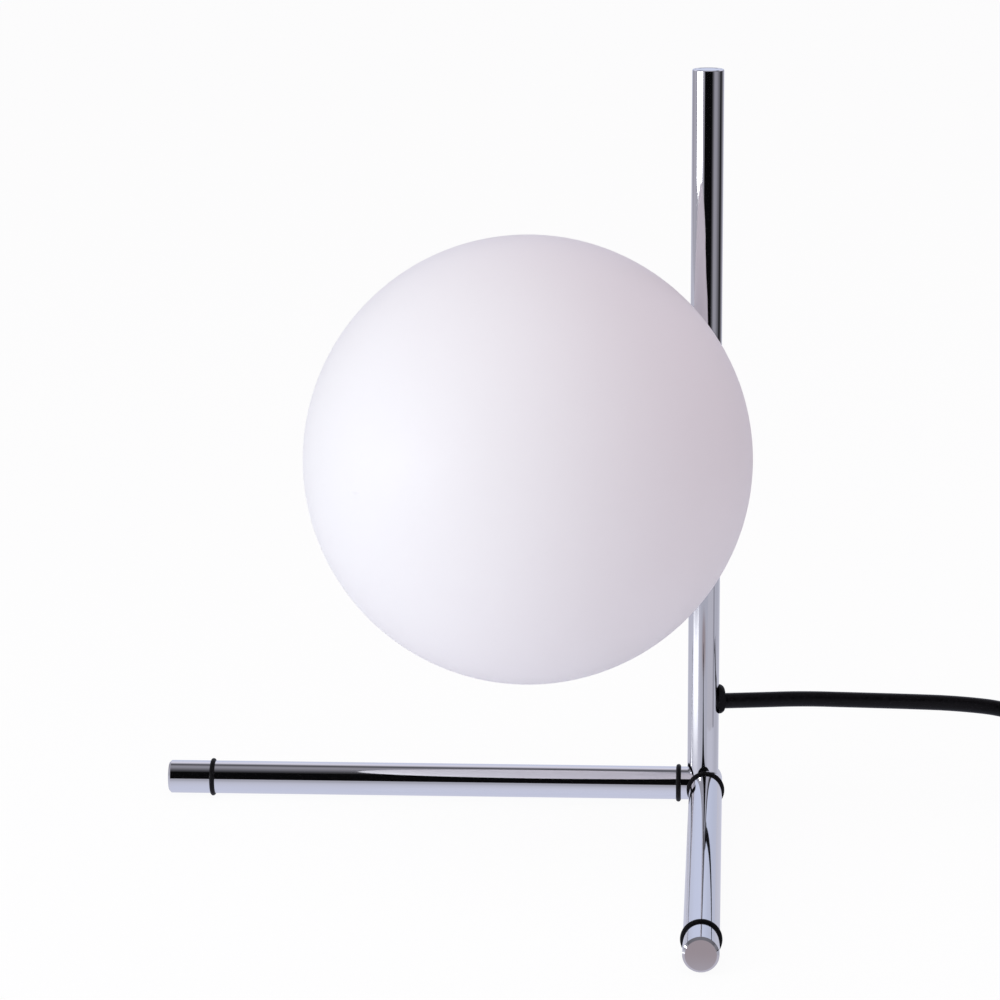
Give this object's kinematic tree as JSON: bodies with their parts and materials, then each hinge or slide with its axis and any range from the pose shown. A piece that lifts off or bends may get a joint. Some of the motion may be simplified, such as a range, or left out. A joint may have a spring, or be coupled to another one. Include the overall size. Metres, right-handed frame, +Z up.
{
  "type": "table lamp",
  "caption": "Table lamp with an opal glass globe screwed to the side of a chromed upright, on an L-shaped base of round bars, with a cord, in-line switch and mains plug.",
  "frame": {"origin": "middle of the lamp's footprint on the table, measured without the cord", "axes": "+Z up along the upright; the front leg runs from the upright towards -Y, the side leg towards -X, and the cord leaves towards +X"},
  "size_m": [0.5954, 0.3449, 0.38],
  "materials": {
    "chrome": "mirror chrome plate on steel",
    "zinc_steel": "zinc plated steel",
    "ceramic": null,
    "brass": "plain brass",
    "nickel_brass": "nickel plated brass",
    "brown_insulation": "brown PVC",
    "blue_insulation": "blue PVC",
    "green_insulation": "green and yellow PVC",
    "black_rubber": "matt black rubber",
    "black_cord": null,
    "black_plastic": "satin black plastic",
    "white_plastic": "matt white heat-resistant plastic",
    "clear_silicone": "milky silicone",
    "opal_glass": "satin opal white blown glass",
    "clear_plastic": "clear polycarbonate",
    "led_board": "white board with yellow light chips"
  },
  "bodies": {
    "lamp": {"front_leg": "chrome", "side_leg": "chrome", "post_bolt": "zinc_steel", "post_foot_plug": "zinc_steel", "post_tube": "chrome", "post_top_cap": "chrome", "post_anchor": "zinc_steel", "hollow_nipple": "zinc_steel", "fitter_saddle": "chrome", "globe_fitter": "chrome", "socket_bracket": "zinc_steel", "nipple_nut": "zinc_steel", "lamp_socket": "ceramic", "socket_contacts": "brass", "socket_screws": "brass", "earth_screw": "brass", "line_core": "brown_insulation", "neutral_core": "blue_insulation", "earth_core": "green_insulation", "cord_bushing": "black_rubber", "cord_entry_sheath": "black_cord", "cord_crimp": "zinc_steel", "switch_base": "black_plastic", "switch_cover": "black_plastic", "switch_boot_lamp_side": "black_cord", "switch_boot_plug_side": "black_cord", "switch_terminals": "brass", "switch_blade": "brass", "switch_line_cores": "brown_insulation", "switch_through_cores": "blue_insulation", "switch_screws": "zinc_steel", "cord_lamp_run": "black_cord", "cord_coil_run": "black_cord", "cord_coil": "black_cord", "cord_plug_run": "black_cord", "cord_tie": "black_plastic", "plug_body": "black_cord", "plug_pins": "nickel_brass", "plug_earth_clips": "nickel_brass", "foot_ring_front_inner": "black_rubber", "foot_ring_front_outer": "black_rubber", "foot_ring_side_inner": "black_rubber", "foot_ring_side_outer": "black_rubber"},
    "seal": {"globe_seal": "clear_silicone"},
    "globe": {"glass_globe": "opal_glass", "globe_collar": "white_plastic"},
    "bulb": {"bulb_base": "white_plastic", "bulb_pins": "zinc_steel", "bulb_envelope": "clear_plastic", "bulb_led_core": "led_board"},
    "rocker": {"switch_rocker": "black_plastic"}
  },
  "joints": [
    {"name": "globe_travel", "type": "slide", "parent": "lamp", "child": "seal", "axis": [-0.7071, -0.7071, 0], "range_m": [0, 0.006]},
    {"name": "globe_turn", "type": "hinge", "parent": "seal", "child": "globe", "pos_m": [0.1271, 0.1271, 0.198], "axis": [-0.7071, -0.7071, 0], "range_deg": [0, 720]},
    {"name": "bulb_pull", "type": "slide", "parent": "lamp", "child": "bulb", "axis": [-0.7071, -0.7071, 0], "range_m": [0, 0.014]},
    {"name": "rocker_tilt", "type": "hinge", "parent": "lamp", "child": "rocker", "pos_m": [0.43, 0.033, 0.0169], "axis": [-1, 0, 0], "range_deg": [0, 16]}
  ],
  "couplings": [
    {"joint": "globe_travel", "follows": "globe_turn", "m_per_rad": 0.00047746}
  ]
}
